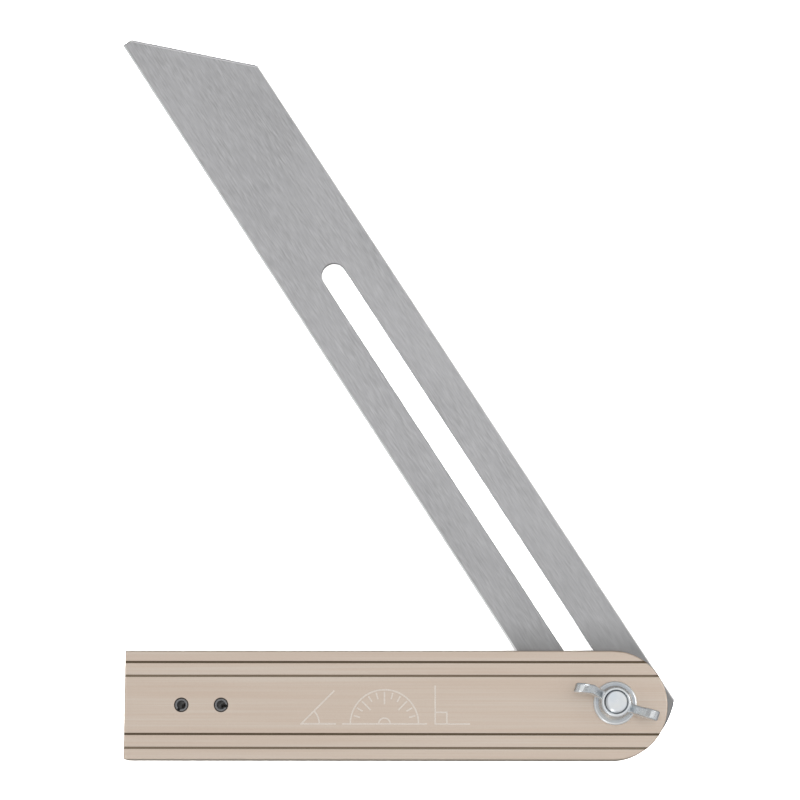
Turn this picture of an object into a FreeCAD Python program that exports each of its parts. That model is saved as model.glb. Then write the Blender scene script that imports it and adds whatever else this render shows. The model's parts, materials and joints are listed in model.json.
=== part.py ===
"""Sliding bevel (T-bevel): a slotted steel blade clamped between two aluminium cheeks by a bolt and wing nut.

Millimetres, +Z up. The tool lies flat. The origin is the centre of the stock's rear face, which is the face
it lies on. +X runs along the stock to its round pivot end, +Y is the side the blade stands out of, and +Z
comes out of the front face, where the wing nut is.
"""
import FreeCAD, Part
import os

import Sketcher

V = FreeCAD.Vector
Z_AXIS = V(0, 0, 1)
X_AXIS = V(1, 0, 0)

DIMENSIONS = {
    # stock
    "stock_length": 150.0,
    "stock_width": 30.0,
    "cheek_thickness": 5.0,
    "cheek_gap": 2.0,
    "cheek_edge_round": 0.4,
    "groove_width": 0.65,
    "groove_depth": 0.5,
    "inner_groove_offset": 8.0,
    "outer_groove_offset": 11.8,
    # the bolt's axis, off the centre of the round end so that the blade's tail stays behind the back edge
    "pivot_shift_along": 0.5,
    "pivot_shift_across": 0.5,
    # spacer and spring pins at the butt end
    "spacer_length": 31.4,
    "spacer_inset": 0.2,
    "outer_pin_setback": 15.8,
    "inner_pin_setback": 26.8,
    "pin_diameter": 4.0,
    "pin_bore": 2.3,
    "pin_slit": 0.8,
    "pin_length": 11.6,
    "pin_chamfer": 0.3,
    "pin_hole_diameter": 4.04,
    # blade
    "blade_thickness": 1.8,
    "blade_width": 29.6,
    "blade_reach": 235.9,
    "blade_tail": 14.5,
    "tail_radius": 20.0,
    "tip_flat": 3.0,
    "blade_end_chamfer": 0.35,
    "slot_width": 7.0,
    "slot_start": 2.5,
    "slot_reach": 145.0,
    # clamp bolt
    "head_diameter": 11.0,
    "head_recess": 0.3,
    "head_height": 2.9,
    "counterbore_diameter": 11.4,
    "counterbore_depth": 3.3,
    "neck_diameter": 7.4,
    "neck_flats": 6.8,
    "neck_hole_diameter": 7.5,
    "thread_diameter": 5.9,
    "bolt_hole_diameter": 6.1,
    "bolt_end_height": 20.6,
    "bolt_end_chamfer": 0.7,
    # washer
    "washer_diameter": 12.0,
    "washer_bore": 6.4,
    "washer_thickness": 1.6,
    "washer_round": 0.35,
    # wing nut
    "boss_foot_diameter": 9.4,
    "boss_top_diameter": 7.9,
    "boss_height": 5.6,
    "boss_step_height": 1.7,
    "boss_chamfer": 0.4,
    "nut_bore": 6.0,
    "wing_reach": 12.0,
    "wing_thickness": 2.0,
    "wing_tip_thickness": 2.4,
    "wing_height": 10.4,
    "wing_round": 0.6,
    "wing_bend_reach": 6.72,
    "wing_bend_offset": 0.72,
    "wing_tip_offset": 0.24,
    # angles, in degrees
    "blade_angle": 122.8,
    "wing_angle": -18.5,
    "outer_slit_angle": 240.0,
    "inner_slit_angle": -12.0,
}


def make_sheet(doc):
    """Put every driving dimension in a spreadsheet cell with an alias."""
    sheet = doc.addObject("Spreadsheet::Sheet", "dims")
    for row, (alias, value) in enumerate(DIMENSIONS.items(), start=1):
        sheet.set(f"A{row}", alias)
        sheet.set(f"B{row}", str(value))
        sheet.setAlias(f"B{row}", alias)
    doc.recompute()
    return sheet


def new_body(doc, label):
    """Make an empty body with its own label."""
    body = doc.addObject("PartDesign::Body", label)
    body.Label = label
    return body


def new_sketch(body, name, plane="XY_Plane", lift=None):
    """Attach a sketch to one of the body's origin planes, lifted along its normal by an expression."""
    sketch = body.newObject("Sketcher::SketchObject", name)
    base = next(item for item in body.Origin.OriginFeatures if item.Role == plane)
    sketch.AttachmentSupport = [(base, "")]
    sketch.MapMode = "FlatFace"
    if lift:
        sketch.setExpression("AttachmentOffset.Base.z", lift)
    return sketch


def number(sketch, expression):
    """Value of an expression over the sheet, as a plain float."""
    return float(sketch.evalExpression(expression))


def pin_point(sketch, geometry, point, x, y):
    """Fix one point of a sketch at (x, y), both given as expressions."""
    for kind, axis, expression in (("DistanceX", -2, x), ("DistanceY", -1, y)):
        value = number(sketch, expression)
        if abs(value) < 1e-9:
            sketch.addConstraint(Sketcher.Constraint("PointOnObject", geometry, point, axis))
            continue
        index = sketch.addConstraint(Sketcher.Constraint(kind, -1, 1, geometry, point, value))
        sketch.setExpression(f"Constraints[{index}]", expression)


def add_circle(sketch, x, y, diameter):
    """Circle about (x, y), all three given as expressions."""
    centre = V(number(sketch, x), number(sketch, y), 0)
    radius = number(sketch, diameter) / 2
    circle = sketch.addGeometry(Part.Circle(centre, Z_AXIS, radius))
    index = sketch.addConstraint(Sketcher.Constraint("Diameter", circle, 2 * radius))
    sketch.setExpression(f"Constraints[{index}]", diameter)
    pin_point(sketch, circle, 3, x, y)
    return circle


def add_outline(sketch, points, bends=None):
    """Closed outline through points of (x, y) expressions.

    bends maps the index of a side to a point, also a pair of expressions, that its arc passes through.
    Every other side is straight.
    """
    bends = bends or {}
    places = [V(number(sketch, x), number(sketch, y), 0) for x, y in points]
    sides, start_of, end_of = [], [], []
    for index, start in enumerate(places):
        end = places[(index + 1) % len(places)]
        if index in bends:
            through = V(*(number(sketch, part) for part in bends[index]), 0)
            arc = Part.Arc(start, through, end)
            side = sketch.addGeometry(arc)
            forward = sketch.getPoint(side, 1).isEqual(start, 1e-6)
        else:
            side = sketch.addGeometry(Part.LineSegment(start, end))
            forward = True
        sides.append(side)
        start_of.append(1 if forward else 2)
        end_of.append(2 if forward else 1)
    for index, (x, y) in enumerate(points):
        before = index - 1
        sketch.addConstraint(
            Sketcher.Constraint("Coincident", sides[before], end_of[before], sides[index], start_of[index])
        )
        pin_point(sketch, sides[index], start_of[index], x, y)
    return sides


def add_rectangle(sketch, x_low, y_low, x_high, y_high):
    """Rectangle between two corners given as expressions."""
    return add_outline(sketch, [(x_low, y_low), (x_high, y_low), (x_high, y_high), (x_low, y_high)])


def pad(body, sketch, name, length):
    """Pad a sketch along its normal by an expression."""
    feature = body.newObject("PartDesign::Pad", name)
    feature.Profile = sketch
    feature.setExpression("Length", length)
    body.Document.recompute()
    return feature


def pocket(body, sketch, name, length=None):
    """Cut a sketch out of the body against its normal, or through it both ways when no length is given."""
    before = body.Shape.Volume
    feature = body.newObject("PartDesign::Pocket", name)
    feature.Profile = sketch
    if length is None:
        feature.Type = "ThroughAll"
        feature.Midplane = True
    else:
        feature.setExpression("Length", length)
    body.Document.recompute()
    if body.Shape.Volume >= before:
        raise RuntimeError(f"{name} cuts nothing")
    return feature


def revolve(body, sketch, name):
    """Turn a sketch once about its vertical axis."""
    feature = body.newObject("PartDesign::Revolution", name)
    feature.Profile = sketch
    feature.ReferenceAxis = (sketch, ["V_Axis"])
    feature.Angle = 360.0
    body.Document.recompute()
    return feature


def dress(body, kind, name, size, choose):
    """Fillet or chamfer every edge of the tip that choose accepts; size is an expression."""
    base = body.Tip
    names = [f"Edge{i}" for i, edge in enumerate(base.Shape.Edges, start=1) if choose(edge)]
    feature = body.newObject(f"PartDesign::{kind}", name)
    feature.Base = (base, names)
    feature.setExpression("Radius" if kind == "Fillet" else "Size", size)
    body.Document.recompute()
    return feature


def at_height(edge, height):
    """True when a whole edge lies at one height."""
    box = edge.BoundBox
    return abs(box.ZMin - height) < 1e-6 and abs(box.ZMax - height) < 1e-6


def place(body, x="0", y="0", z="0", turn="0"):
    """Bind the body's placement: a shift and a turn in degrees about its own Z."""
    body.Placement.Rotation.Axis = Z_AXIS
    for part, expression in (("Base.x", x), ("Base.y", y), ("Base.z", z), ("Rotation.Angle", turn)):
        body.setExpression(f"Placement.{part}", expression)


ROUND_END_X = "(dims.stock_length - dims.stock_width) / 2"
PIVOT_X = f"({ROUND_END_X} + dims.pivot_shift_along)"
PIVOT_Y = "dims.pivot_shift_across"
BUTT_X = "-dims.stock_length / 2"
FRONT_GAP_Z = "dims.cheek_thickness + dims.cheek_gap"
FRONT_FACE_Z = "2 * dims.cheek_thickness + dims.cheek_gap"
PIN_PLACES = (
    f"{BUTT_X} + dims.outer_pin_setback",
    f"{BUTT_X} + dims.inner_pin_setback",
)


def make_cheek(doc, label):
    """Side plate with a round pivot end, an eased outer edge and four long grooves.

    Its inner face lies at its own z = 0.
    """
    body = new_body(doc, label)
    outline = new_sketch(body, f"{label}_outline")
    half = "dims.stock_width / 2"
    corners = [(BUTT_X, f"-{half}"), (ROUND_END_X, f"-{half}"), (ROUND_END_X, half), (BUTT_X, half)]
    add_outline(outline, corners, bends={1: ("dims.stock_length / 2", "0")})
    pad(body, outline, f"{label}_plate", "dims.cheek_thickness")

    thickness = DIMENSIONS["cheek_thickness"]
    butt = -DIMENSIONS["stock_length"] / 2
    dress(
        body, "Fillet", f"{label}_eased_edge", "dims.cheek_edge_round",
        lambda edge: at_height(edge, thickness) and edge.BoundBox.XMax > butt + 1,
    )

    grooves = new_sketch(body, f"{label}_groove_lines", lift="dims.cheek_thickness")
    for offset in ("inner_groove_offset", "outer_groove_offset"):
        for side in ("", "-"):
            middle = f"{side}dims.{offset}"
            add_rectangle(
                grooves,
                f"{BUTT_X} - 1", f"{middle} - dims.groove_width / 2",
                "dims.stock_length / 2 + 1", f"{middle} + dims.groove_width / 2",
            )
    pocket(body, grooves, f"{label}_grooves", "dims.groove_depth")

    pin_holes = new_sketch(body, f"{label}_pin_hole_circles")
    for x in PIN_PLACES:
        add_circle(pin_holes, x, "0", "dims.pin_hole_diameter")
    pocket(body, pin_holes, f"{label}_pin_holes")
    return body


def make_front_cheek(doc):
    """Front side plate with the clearance hole for the bolt's thread."""
    body = make_cheek(doc, "front_cheek")
    hole = new_sketch(body, "front_cheek_bolt_circle")
    add_circle(hole, PIVOT_X, PIVOT_Y, "dims.bolt_hole_diameter")
    pocket(body, hole, "front_cheek_bolt_hole")
    place(body, z=FRONT_GAP_Z)
    return body


def make_rear_cheek(doc):
    """Rear side plate, turned over so that its grooves face down, counterbored for the bolt's head."""
    body = make_cheek(doc, "rear_cheek")
    hole = new_sketch(body, "rear_cheek_neck_circle")
    add_circle(hole, PIVOT_X, f"-{PIVOT_Y}", "dims.neck_hole_diameter")
    pocket(body, hole, "rear_cheek_neck_hole")
    counterbore = new_sketch(body, "rear_cheek_head_circle", lift="dims.cheek_thickness")
    add_circle(counterbore, PIVOT_X, f"-{PIVOT_Y}", "dims.counterbore_diameter")
    pocket(body, counterbore, "rear_cheek_counterbore", "dims.counterbore_depth")
    body.Placement.Rotation = FreeCAD.Rotation(X_AXIS, 180)
    body.setExpression("Placement.Base.z", "dims.cheek_thickness")
    return body


def make_butt_spacer(doc):
    """Flat strip that fills the slit at the butt end."""
    body = new_body(doc, "butt_spacer")
    outline = new_sketch(body, "spacer_outline")
    half = "(dims.stock_width / 2 - dims.spacer_inset)"
    add_rectangle(
        outline, f"{BUTT_X} + dims.spacer_inset", f"-{half}", f"{BUTT_X} + dims.spacer_length", half
    )
    pad(body, outline, "spacer_strip", "dims.cheek_gap")
    pin_holes = new_sketch(body, "spacer_pin_hole_circles")
    for x in PIN_PLACES:
        add_circle(pin_holes, x, "0", "dims.pin_hole_diameter")
    pocket(body, pin_holes, "spacer_pin_holes")
    place(body, z="dims.cheek_thickness")
    return body


def make_spring_pin(doc, label, x, slit_angle):
    """Slotted spring pin: a tube with one slit along +X before it is turned, chamfered at both ends."""
    body = new_body(doc, label)
    ring = new_sketch(body, f"{label}_ring")
    add_circle(ring, "0", "0", "dims.pin_diameter")
    add_circle(ring, "0", "0", "dims.pin_bore")
    pad(body, ring, f"{label}_tube", "dims.pin_length")
    outer_radius = DIMENSIONS["pin_diameter"] / 2
    dress(
        body, "Chamfer", f"{label}_chamfers", "dims.pin_chamfer",
        lambda edge: abs(getattr(edge.Curve, "Radius", 0) - outer_radius) < 1e-6,
    )
    slit = new_sketch(body, f"{label}_slit_outline")
    add_rectangle(slit, "0", "-dims.pin_slit / 2", "dims.pin_diameter", "dims.pin_slit / 2")
    pocket(body, slit, f"{label}_slit")
    place(body, x=x, z=f"({FRONT_FACE_Z} - dims.pin_length) / 2", turn=slit_angle)
    return body


def make_blade(doc):
    """Slotted blade along its own +X, with the bolt's axis at its own origin.

    The far end is cut at 45 degrees with the sharp tip squared off, and the tail is a shallow arc.
    """
    body = new_body(doc, "blade")
    outline = new_sketch(body, "blade_outline")
    half = "dims.blade_width / 2"
    tail_centre = "(dims.tail_radius - dims.blade_tail)"
    tail_corner = f"{tail_centre} - sqrt(dims.tail_radius ^ 2 - (dims.blade_width / 2) ^ 2)"
    corners = [
        (tail_corner, f"-{half}"),
        ("dims.blade_reach - dims.blade_width + dims.tip_flat", f"-{half}"),
        ("dims.blade_reach", f"{half} - dims.tip_flat"),
        ("dims.blade_reach", half),
        (tail_corner, half),
    ]
    add_outline(outline, corners, bends={4: ("-dims.blade_tail", "0")})
    pad(body, outline, "blade_plate", "dims.blade_thickness")

    heights = (0.0, DIMENSIONS["blade_thickness"])
    half_width = DIMENSIONS["blade_width"] / 2

    def is_end_edge(edge):
        flat = any(at_height(edge, height) for height in heights)
        along = abs(edge.BoundBox.YMax - edge.BoundBox.YMin) < 1e-6 and edge.BoundBox.XLength > half_width
        return flat and not along

    dress(body, "Chamfer", "blade_end_chamfers", "dims.blade_end_chamfer", is_end_edge)

    slot = new_sketch(body, "blade_slot_outline")
    side = "dims.slot_width / 2"
    ends = [
        ("-dims.slot_start", f"-{side}"), ("dims.slot_reach", f"-{side}"),
        ("dims.slot_reach", side), ("-dims.slot_start", side),
    ]
    bends = {1: (f"dims.slot_reach + {side}", "0"), 3: (f"-dims.slot_start - {side}", "0")}
    add_outline(slot, ends, bends=bends)
    pocket(body, slot, "blade_slot")
    middle = "dims.cheek_thickness + (dims.cheek_gap - dims.blade_thickness) / 2"
    place(body, x=PIVOT_X, y=PIVOT_Y, z=middle, turn="dims.blade_angle")
    return body


def make_clamp_bolt(doc):
    """Bolt standing on its own Z: low head, flatted neck that rides in the blade's slot, plain M6 shank."""
    body = new_body(doc, "clamp_bolt")
    profile = new_sketch(body, "bolt_profile", plane="XZ_Plane")
    head = "dims.head_diameter / 2"
    neck = "dims.neck_diameter / 2"
    shank = "dims.thread_diameter / 2"
    low, under_head = "dims.head_recess", "dims.head_recess + dims.head_height"
    neck_top = f"{FRONT_GAP_Z} - (dims.cheek_gap - dims.blade_thickness) / 2"
    bevel = "dims.bolt_end_chamfer"
    add_outline(profile, [
        ("0", low), (f"{head} - {bevel}", low), (head, f"{low} + {bevel}"), (head, under_head),
        (neck, under_head), (neck, neck_top), (shank, neck_top),
        (shank, f"dims.bolt_end_height - {bevel}"), (f"{shank} - {bevel}", "dims.bolt_end_height"),
        ("0", "dims.bolt_end_height"),
    ])
    revolve(body, profile, "bolt_turning")

    flats = new_sketch(body, "bolt_flats_outline", lift=neck_top)
    for side in ("", "-"):
        add_rectangle(
            flats, "-dims.neck_diameter", f"{side}dims.neck_flats / 2",
            "dims.neck_diameter", f"{side}dims.neck_diameter",
        )
    pocket(body, flats, "bolt_flats", f"{neck_top} - ({under_head})")
    place(body, x=PIVOT_X, y=PIVOT_Y, turn="dims.blade_angle")
    return body


def make_washer(doc):
    """Flat washer with rounded outer edges."""
    body = new_body(doc, "washer")
    ring = new_sketch(body, "washer_ring")
    add_circle(ring, "0", "0", "dims.washer_diameter")
    add_circle(ring, "0", "0", "dims.washer_bore")
    pad(body, ring, "washer_disc", "dims.washer_thickness")
    outer_radius = DIMENSIONS["washer_diameter"] / 2
    dress(
        body, "Fillet", "washer_rounds", "dims.washer_round",
        lambda edge: abs(getattr(edge.Curve, "Radius", 0) - outer_radius) < 1e-6,
    )
    place(body, x=PIVOT_X, y=PIVOT_Y, z=FRONT_FACE_Z)
    return body


# Side outline of a wing, as shares of its reach and height: its corners from the lower root round the tip to
# the upper root, and for each rounded side, by its first corner, the point that it bends through.
WING_CORNERS = ((0.36, 0.14), (0.62, 0.2), (1.0, 0.78), (0.8, 1.0), (0.6, 0.84), (0.3, 0.5))
WING_BENDS = {1: (0.88, 0.45), 2: (0.95, 0.94), 3: (0.68, 0.95), 4: (0.5, 0.62)}


def wing_point(across, up):
    """Point of the wing's side outline as a pair of expressions."""
    return f"{across} * dims.wing_reach", f"{up} * dims.wing_height"


def is_wing_rim(edge):
    """True for the edges that run round a wing's two faces, outside the boss."""
    box = edge.BoundBox
    across_wing = box.YLength > DIMENSIONS["wing_thickness"] / 2
    bend_line = box.XLength < 1e-6 and box.ZLength > 1
    outboard = max(-box.XMin, box.XMax) > DIMENSIONS["boss_foot_diameter"] / 2
    return outboard and not across_wing and not bend_line


def make_wing_nut(doc):
    """Wing nut on its own Z: two bent wings cut to a side outline, joined by a stepped boss."""
    body = new_body(doc, "wing_nut")

    plan = new_sketch(body, "wing_plan")
    root, tip = "dims.wing_thickness / 2", "dims.wing_tip_thickness / 2"
    right = [
        ("dims.wing_bend_reach", f"-dims.wing_bend_offset - {root}"),
        ("dims.wing_reach", f"-dims.wing_tip_offset - {tip}"),
        ("dims.wing_reach", f"-dims.wing_tip_offset + {tip}"),
        ("dims.wing_bend_reach", f"-dims.wing_bend_offset + {tip}"),
    ]
    left = [(f"-({x})", f"-({y})") for x, y in right]
    add_outline(plan, right + left)
    pad(body, plan, "wing_bar", "dims.wing_height")

    frame = new_sketch(body, "wing_side_outline", plane="XZ_Plane")
    width, top = "(dims.wing_reach + 1)", "(dims.wing_height + 1)"
    add_rectangle(frame, f"-{width}", "-1", width, top)
    ear = [wing_point(x, z) for x, z in WING_CORNERS]
    mirrored = [(f"-{x}", z) for x, z in reversed(ear)]
    bends = {side: wing_point(x, z) for side, (x, z) in WING_BENDS.items()}
    opposite = {2 * len(ear) - 2 - side: (f"-{x}", z) for side, (x, z) in bends.items()}
    add_outline(frame, ear + mirrored, bends={**bends, **opposite})
    pocket(body, frame, "wing_side_cut")
    dress(body, "Fillet", "wing_rounds", "dims.wing_round", is_wing_rim)

    boss = new_sketch(body, "boss_profile", plane="XZ_Plane")
    foot, crown = "dims.boss_foot_diameter / 2", "dims.boss_top_diameter / 2"
    step, crest = "dims.boss_step_height", "dims.boss_height"
    add_outline(boss, [
        ("0", "0"), (foot, "0"), (foot, f"{step} - ({foot} - {crown})"), (crown, step),
        (crown, f"{crest} - dims.boss_chamfer"), (f"{crown} - dims.boss_chamfer", crest), ("0", crest),
    ])
    revolve(body, boss, "boss_turning")

    bore = new_sketch(body, "nut_bore_circle")
    add_circle(bore, "0", "0", "dims.nut_bore")
    pocket(body, bore, "nut_bore_hole")
    place(body, x=PIVOT_X, y=PIVOT_Y, z=f"{FRONT_FACE_Z} + dims.washer_thickness", turn="dims.wing_angle")
    return body


def check_document(doc, bodies):
    """Stop if any object failed to compute or any sub-part has no good solid."""
    for item in doc.Objects:
        if "Invalid" in item.State or "Error" in item.State:
            raise RuntimeError(f"{item.Label}: {item.State}")
    for body in bodies:
        shape = body.Shape
        if shape.isNull() or not shape.isValid() or len(shape.Solids) != 1:
            raise RuntimeError(f"{body.Label} has no single valid solid")


def main():
    """Build every sub-part, check them all and write one STEP file each."""
    doc = FreeCAD.newDocument("sliding_bevel")
    make_sheet(doc)
    bodies = [
        make_front_cheek(doc),
        make_rear_cheek(doc),
        make_butt_spacer(doc),
        make_spring_pin(doc, "spring_pin_outer", PIN_PLACES[0], "dims.outer_slit_angle"),
        make_spring_pin(doc, "spring_pin_inner", PIN_PLACES[1], "dims.inner_slit_angle"),
        make_blade(doc),
        make_clamp_bolt(doc),
        make_washer(doc),
        make_wing_nut(doc),
    ]
    doc.recompute()
    check_document(doc, bodies)
    os.makedirs("parts", exist_ok=True)
    for body in bodies:
        body.Shape.exportStep(f"parts/{body.Label}.step")
        box = body.Shape.BoundBox
        print(f"{body.Label}: volume {body.Shape.Volume:.1f} mm3, z {box.ZMin:.2f} to {box.ZMax:.2f}")


main()
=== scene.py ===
"""Looks of a sliding bevel: anodised stock, brushed steel blade, zinc-plated clamp bolt and wing nut.

Lengths named in millimetres are turned to metres by MM. The frame is the part's own: the origin is the
centre of the stock's rear face, +X runs to the round pivot end, +Y to the side the blade stands out of, and
+Z out of the front face.
"""

import json
import logging
import math
from collections.abc import Iterator
from contextlib import contextmanager
from dataclasses import dataclass, field
from enum import Enum

import bmesh
import bpy
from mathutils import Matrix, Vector

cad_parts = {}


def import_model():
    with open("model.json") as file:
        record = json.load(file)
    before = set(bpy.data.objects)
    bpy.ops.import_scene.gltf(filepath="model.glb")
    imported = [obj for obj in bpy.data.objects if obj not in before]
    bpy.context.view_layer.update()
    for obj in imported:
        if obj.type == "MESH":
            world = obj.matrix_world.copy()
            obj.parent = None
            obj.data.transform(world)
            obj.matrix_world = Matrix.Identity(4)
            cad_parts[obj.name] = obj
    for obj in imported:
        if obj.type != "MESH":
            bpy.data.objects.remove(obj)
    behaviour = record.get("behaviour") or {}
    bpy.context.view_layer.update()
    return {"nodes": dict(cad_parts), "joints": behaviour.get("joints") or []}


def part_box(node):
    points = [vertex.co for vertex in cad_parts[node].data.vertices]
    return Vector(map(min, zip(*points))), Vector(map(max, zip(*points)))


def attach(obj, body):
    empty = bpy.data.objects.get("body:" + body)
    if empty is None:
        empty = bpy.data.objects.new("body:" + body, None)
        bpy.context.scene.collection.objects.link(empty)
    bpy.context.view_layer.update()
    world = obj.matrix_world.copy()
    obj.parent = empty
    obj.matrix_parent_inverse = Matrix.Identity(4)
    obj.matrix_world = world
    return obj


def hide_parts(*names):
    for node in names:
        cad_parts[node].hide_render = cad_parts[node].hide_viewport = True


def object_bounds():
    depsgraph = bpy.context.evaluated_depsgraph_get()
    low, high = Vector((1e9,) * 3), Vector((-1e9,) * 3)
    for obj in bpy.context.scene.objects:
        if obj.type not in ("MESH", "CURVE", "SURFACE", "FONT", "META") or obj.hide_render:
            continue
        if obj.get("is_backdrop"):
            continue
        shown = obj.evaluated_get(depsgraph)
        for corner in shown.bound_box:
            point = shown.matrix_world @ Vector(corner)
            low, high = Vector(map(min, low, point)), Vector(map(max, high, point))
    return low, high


MM = 0.001
DOUBLES_MM = 0.0005
ON_PLANE_MM = 0.0001
LOG = logging.getLogger("sliding_bevel")


class Body(Enum):
    """The moving bodies of the tool."""

    STOCK = "stock"
    BOLT = "bolt"
    BLADE = "blade"
    WASHER = "washer"
    WING_NUT = "wing_nut"


class Slot(Enum):
    """Names of two material slots; no piece in this script takes its finish from them."""

    ALUMINIUM = "anodised_aluminium"
    ZINC = "zinc_plate"


# ---------------------------------------------------------------------------------------------------------
# Colour and node helpers
# ---------------------------------------------------------------------------------------------------------


def linear_colour(hex_code: str) -> tuple[float, float, float, float]:
    """Turn an sRGB hex colour into the linear colour that shaders use.

    Args:
        hex_code: Six hex digits after a hash sign.

    Returns:
        Linear red, green and blue, and an alpha of 1.
    """
    channels = [int(hex_code[i : i + 2], 16) / 255 for i in (1, 3, 5)]
    linear = [c / 12.92 if c <= 0.04045 else ((c + 0.055) / 1.055) ** 2.4 for c in channels]
    return (*linear, 1.0)


def add_node(
    tree: bpy.types.NodeTree,
    kind: str,
    settings: dict[str, object] | None = None,
    values: dict[object, object] | None = None,
    links: dict[object, bpy.types.NodeSocket] | None = None,
) -> bpy.types.Node:
    """Add one node with its settings, socket values and incoming links.

    Args:
        tree: Node tree that gets the node.
        kind: Blender's name for the node type.
        settings: Properties of the node itself.
        values: Input sockets, by name or number, to fixed values.
        links: Input sockets, by name or number, to the output sockets that feed them.

    Returns:
        The new node.
    """
    node = tree.nodes.new(kind)
    for name, value in (settings or {}).items():
        setattr(node, name, value)
    for name, value in (values or {}).items():
        node.inputs[name].default_value = value
    for name, source in (links or {}).items():
        tree.links.new(source, node.inputs[name])
    return node


@dataclass
class Surface:
    """A node-based material being put together, with short names for what its patterns need."""

    name: str
    material: bpy.types.Material = field(init=False)
    tree: bpy.types.NodeTree = field(init=False)
    shader: bpy.types.Node = field(init=False)
    place: bpy.types.NodeSocket = field(init=False)

    def __post_init__(self) -> None:
        """Make an empty material with one Principled shader and the Object coordinates."""
        self.material = bpy.data.materials.new(self.name)
        self.material.use_nodes = True
        self.tree = self.material.node_tree
        self.tree.nodes.clear()
        self.shader = add_node(self.tree, "ShaderNodeBsdfPrincipled")
        add_node(self.tree, "ShaderNodeOutputMaterial", links={"Surface": self.shader.outputs["BSDF"]})
        self.place = add_node(self.tree, "ShaderNodeTexCoord").outputs["Object"]

    def set(self, **sockets: object) -> None:
        """Set sockets of the shader that are the same all over the surface, by name with _ for spaces."""
        for name, value in sockets.items():
            self.shader.inputs[name.replace("_", " ")].default_value = value

    def feed(self, socket: str, source: bpy.types.NodeSocket) -> None:
        """Link an output into one socket of the shader."""
        self.tree.links.new(source, self.shader.inputs[socket])

    def coordinates(
        self, grain_mm: tuple[float, float, float], turn: float = 0.0, centre: Vector | None = None
    ) -> bpy.types.NodeSocket:
        """Object coordinates turned about Z and divided by the size of a pattern's grain.

        Args:
            grain_mm: Grain size along the pattern's own three axes, in millimetres.
            turn: Angle of the pattern's first axis from +X, in radians.
            centre: Point of the piece that the pattern is centred on.

        Returns:
            The socket with the pattern's coordinates.
        """
        at = centre or Vector((0, 0, 0))
        moved = add_node(
            self.tree, "ShaderNodeMapping", {"vector_type": "TEXTURE"},
            {"Location": at, "Rotation": (0, 0, turn)}, {"Vector": self.place},
        )
        scale = tuple(1 / (size * MM) for size in grain_mm)
        sized = add_node(
            self.tree, "ShaderNodeVectorMath", {"operation": "MULTIPLY"}, {1: scale},
            {0: moved.outputs["Vector"]},
        )
        return sized.outputs["Vector"]

    def from_axis(self, centre: Vector) -> bpy.types.NodeSocket:
        """Distance from an upright axis, in millimetres.

        Args:
            centre: Point of the axis.

        Returns:
            The socket with the distance.
        """
        # a huge grain along the axis makes heights count for nothing
        flat = self.coordinates((1.0, 1.0, 1e6), 0.0, centre)
        length = add_node(self.tree, "ShaderNodeVectorMath", {"operation": "LENGTH"}, links={0: flat})
        return length.outputs["Value"]

    def noise(
        self, vector: bpy.types.NodeSocket, detail: float = 3.0, roughness: float = 0.5
    ) -> bpy.types.NodeSocket:
        """Noise with grains of about one unit of its coordinates.

        Args:
            vector: Pattern coordinates.
            detail: Number of finer layers.
            roughness: Strength of the finer layers.

        Returns:
            The socket with a value around 0.5.
        """
        values = {"Scale": 1.0, "Detail": detail, "Roughness": roughness}
        return add_node(self.tree, "ShaderNodeTexNoise", None, values, {"Vector": vector}).outputs["Fac"]

    def spread(
        self, value: bpy.types.NodeSocket, low: float, high: float, start: float = 0.3, stop: float = 0.7
    ) -> bpy.types.NodeSocket:
        """Map a value from start..stop to low..high, held at both ends.

        Args:
            value: Value to map.
            low: Result at start.
            high: Result at stop.
            start: Value that gives low.
            stop: Value that gives high.

        Returns:
            The socket with the mapped value.
        """
        values = {"From Min": start, "From Max": stop, "To Min": low, "To Max": high}
        return add_node(self.tree, "ShaderNodeMapRange", None, values, {"Value": value}).outputs["Result"]

    def math(self, operation: str, first: object, second: object = 0.0) -> bpy.types.NodeSocket:
        """One arithmetic step on sockets or numbers.

        Args:
            operation: Blender's name for the operation.
            first: Socket or number.
            second: Socket or number.

        Returns:
            The socket with the result.
        """
        operands = dict(enumerate((first, second)))
        links = {i: item for i, item in operands.items() if isinstance(item, bpy.types.NodeSocket)}
        values = {i: item for i, item in operands.items() if i not in links}
        return add_node(self.tree, "ShaderNodeMath", {"operation": operation}, values, links).outputs[0]

    def mix(self, share: bpy.types.NodeSocket, first: object, second: object) -> bpy.types.NodeSocket:
        """Mix two colours, each a hex code or a socket.

        Args:
            share: Share of the second colour.
            first: Colour at a share of 0.
            second: Colour at a share of 1.

        Returns:
            The socket with the mixed colour.
        """
        values: dict[object, object] = {}
        links: dict[object, bpy.types.NodeSocket] = {0: share}
        for index, colour in ((6, first), (7, second)):
            if isinstance(colour, str):
                values[index] = linear_colour(colour)
            else:
                links[index] = colour
        settings = {"data_type": "RGBA", "clamp_factor": True}
        node = add_node(self.tree, "ShaderNodeMix", settings, values, links)
        return node.outputs[2]

    def bump(self, height: bpy.types.NodeSocket, depth_mm: float, strength: float = 1.0) -> None:
        """Raise the surface by a height pattern.

        Args:
            height: Pattern between 0 and 1.
            depth_mm: Height of the pattern's tops over its bottoms, in millimetres.
            strength: Share of that height that shows.
        """
        values = {"Strength": strength, "Distance": depth_mm * MM}
        node = add_node(self.tree, "ShaderNodeBump", None, values, {"Height": height})
        self.feed("Normal", node.outputs["Normal"])


# ---------------------------------------------------------------------------------------------------------
# Finishes
# ---------------------------------------------------------------------------------------------------------


@dataclass(frozen=True)
class Grooves:
    """The four long grooves of each side plate, two on either side of the middle."""

    inner_mm: float
    outer_mm: float
    width_mm: float
    depth_mm: float


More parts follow.
